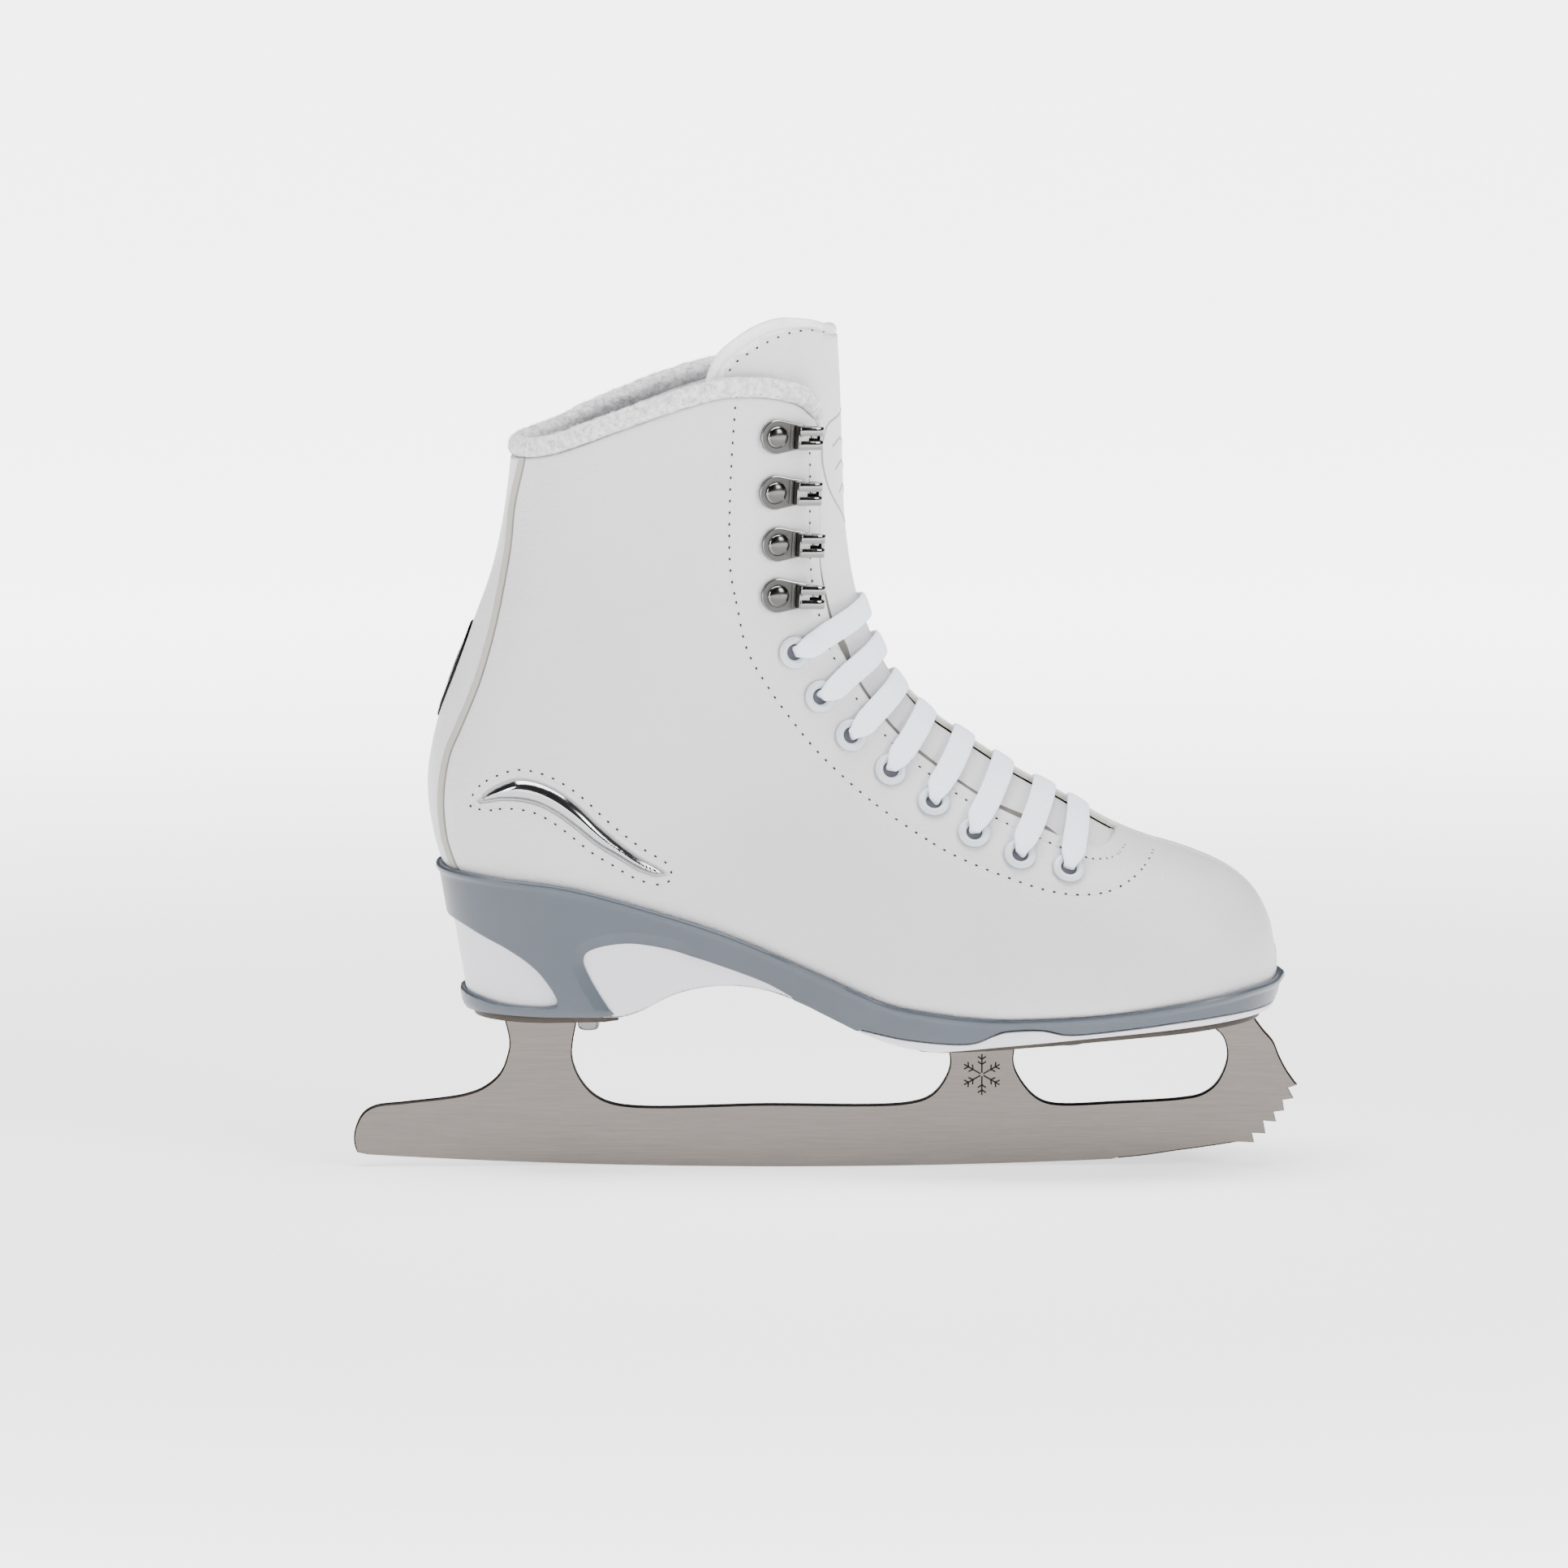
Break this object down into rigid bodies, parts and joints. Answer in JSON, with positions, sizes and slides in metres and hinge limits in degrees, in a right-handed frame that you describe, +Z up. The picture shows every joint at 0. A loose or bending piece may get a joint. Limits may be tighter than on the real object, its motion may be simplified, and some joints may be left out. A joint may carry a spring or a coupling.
{
  "type": "figure skate",
  "caption": "Laced white figure skate boot with padded collar, lace hooks, a heeled grey and white sole and a screwed-on toe-pick blade.",
  "frame": {"origin": "middle of the bounding box in X and Y, at the lowest point of the blade's running edge", "axes": "+X towards the toe, +Z up, -Y towards the outer side of the right foot"},
  "size_m": [0.2838, 0.0898, 0.2585],
  "materials": {
    "leather_white": "fine-grained white coated leather, satin",
    "plush_white": "off-white fleece",
    "piping_beige": "raw cut edge, matt",
    "board_brown": "pressed leatherboard, matt",
    "foam_grey": "cloth-topped foam",
    "sole_white": "white moulded plastic, satin",
    "rand_grey": "blue-grey translucent moulded plastic",
    "blade_steel": "brushed lengthways",
    "plate_steel": "satin plated",
    "screw_steel": "bright zinc plated",
    "hook_nickel": "polished nickel, sanded flat on the plate",
    "eyelet_enamel": "white enamel",
    "lace_white": "flat woven lace",
    "accent_chrome": "mirror chrome",
    "accent_black": "gloss black"
  },
  "bodies": {
    "boot": {"back_accent": "accent_black", "backstay": "leather_white", "blade": "blade_steel", "collar_roll": "plush_white", "eyelet_lateral_1": "eyelet_enamel", "eyelet_lateral_2": "eyelet_enamel", "eyelet_lateral_3": "eyelet_enamel", "eyelet_lateral_4": "eyelet_enamel", "eyelet_lateral_5": "eyelet_enamel", "eyelet_lateral_6": "eyelet_enamel", "eyelet_lateral_7": "eyelet_enamel", "eyelet_lateral_8": "eyelet_enamel", "eyelet_medial_1": "eyelet_enamel", "eyelet_medial_2": "eyelet_enamel", "eyelet_medial_3": "eyelet_enamel", "eyelet_medial_4": "eyelet_enamel", "eyelet_medial_5": "eyelet_enamel", "eyelet_medial_6": "eyelet_enamel", "eyelet_medial_7": "eyelet_enamel", "eyelet_medial_8": "eyelet_enamel", "footbed": "foam_grey", "heel_counter": "board_brown", "heel_plate": "plate_steel", "hook_lateral_1": "hook_nickel", "hook_lateral_2": "hook_nickel", "hook_lateral_3": "hook_nickel", "hook_lateral_4": "hook_nickel", "hook_medial_1": "hook_nickel", "hook_medial_2": "hook_nickel", "hook_medial_3": "hook_nickel", "hook_medial_4": "hook_nickel", "insole_board": "board_brown", "lace": "lace_white", "lining_shaft": "plush_white", "lining_vamp": "plush_white", "outsole": "sole_white", "piping_lateral": "piping_beige", "piping_medial": "piping_beige", "quarter_lateral": "leather_white", "quarter_medial": "leather_white", "screw_heel_1": "screw_steel", "screw_heel_2": "screw_steel", "screw_heel_3": "screw_steel", "screw_heel_4": "screw_steel", "screw_sole_1": "screw_steel", "screw_sole_2": "screw_steel", "screw_sole_3": "screw_steel", "screw_sole_4": "screw_steel", "screw_sole_5": "screw_steel", "screw_sole_6": "screw_steel", "sole_plate": "plate_steel", "sole_rand": "rand_grey", "swoosh_lateral": "accent_chrome", "swoosh_medial": "accent_chrome", "toe_puff": "board_brown", "tongue_lower": "leather_white"},
    "tongue_top": {"tongue_upper": "leather_white"}
  },
  "joints": [
    {"name": "tongue_bend", "type": "hinge", "parent": "boot", "child": "tongue_top", "pos_m": [0.004, 0, 0.17], "axis": [0, 1, 0], "range_deg": [-20, 0], "stiffness_Nm_per_rad": 0.3}
  ]
}
